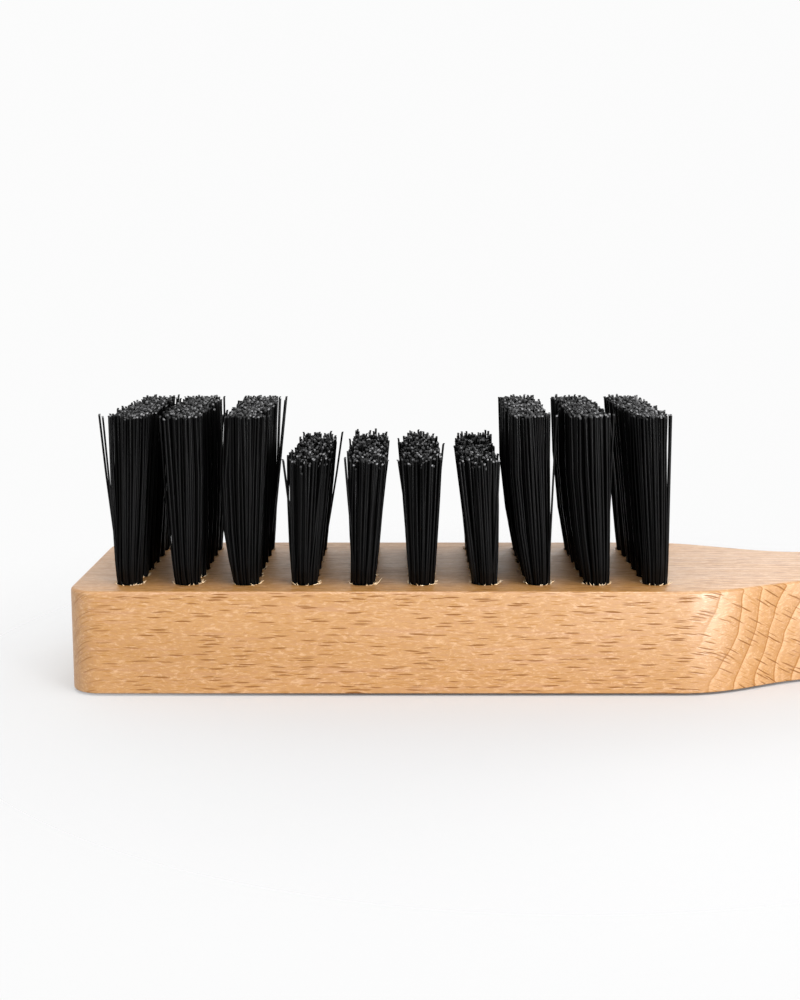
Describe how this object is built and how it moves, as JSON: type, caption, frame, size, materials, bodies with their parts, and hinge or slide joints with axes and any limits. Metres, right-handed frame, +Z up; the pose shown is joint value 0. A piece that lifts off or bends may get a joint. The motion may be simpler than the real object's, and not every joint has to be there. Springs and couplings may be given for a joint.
{
  "type": "clothes brush",
  "caption": "One-piece beech clothes brush with a rectangular head, a flat handle with a hanging hole, and black nylon tufts: a short middle band between taller end bands.",
  "frame": {"origin": "under the middle of the whole brush, on the flat back that it lies on", "axes": "+X along the brush towards the handle's end, +Y across the head, +Z up along the bristles"},
  "size_m": [0.2502, 0.0512, 0.0536],
  "materials": {
    "wood": "bare sanded beech, fine grain with short dark flecks",
    "bristle": "black nylon filament, satin, cut tips dull grey"
  },
  "bodies": {
    "root": {"block": "wood", "tuft_c01_r1": "bristle", "tuft_c01_r2": "bristle", "tuft_c01_r3": "bristle", "tuft_c01_r4": "bristle", "tuft_c01_r5": "bristle", "tuft_c01_r6": "bristle", "tuft_c02_r1": "bristle", "tuft_c02_r2": "bristle", "tuft_c02_r3": "bristle", "tuft_c02_r4": "bristle", "tuft_c02_r5": "bristle", "tuft_c02_r6": "bristle", "tuft_c03_r1": "bristle", "tuft_c03_r2": "bristle", "tuft_c03_r3": "bristle", "tuft_c03_r4": "bristle", "tuft_c03_r5": "bristle", "tuft_c03_r6": "bristle", "tuft_c04_r1": "bristle", "tuft_c04_r2": "bristle", "tuft_c04_r3": "bristle", "tuft_c04_r4": "bristle", "tuft_c04_r5": "bristle", "tuft_c04_r6": "bristle", "tuft_c05_r1": "bristle", "tuft_c05_r2": "bristle", "tuft_c05_r3": "bristle", "tuft_c05_r4": "bristle", "tuft_c05_r5": "bristle", "tuft_c05_r6": "bristle", "tuft_c06_r1": "bristle", "tuft_c06_r2": "bristle", "tuft_c06_r3": "bristle", "tuft_c06_r4": "bristle", "tuft_c06_r5": "bristle", "tuft_c06_r6": "bristle", "tuft_c07_r1": "bristle", "tuft_c07_r2": "bristle", "tuft_c07_r3": "bristle", "tuft_c07_r4": "bristle", "tuft_c07_r5": "bristle", "tuft_c07_r6": "bristle", "tuft_c08_r1": "bristle", "tuft_c08_r2": "bristle", "tuft_c08_r3": "bristle", "tuft_c08_r4": "bristle", "tuft_c08_r5": "bristle", "tuft_c08_r6": "bristle", "tuft_c09_r1": "bristle", "tuft_c09_r2": "bristle", "tuft_c09_r3": "bristle", "tuft_c09_r4": "bristle", "tuft_c09_r5": "bristle", "tuft_c09_r6": "bristle", "tuft_c10_r1": "bristle", "tuft_c10_r2": "bristle", "tuft_c10_r3": "bristle", "tuft_c10_r4": "bristle", "tuft_pair_c10_r5_r6": "bristle"}
  },
  "joints": []
}
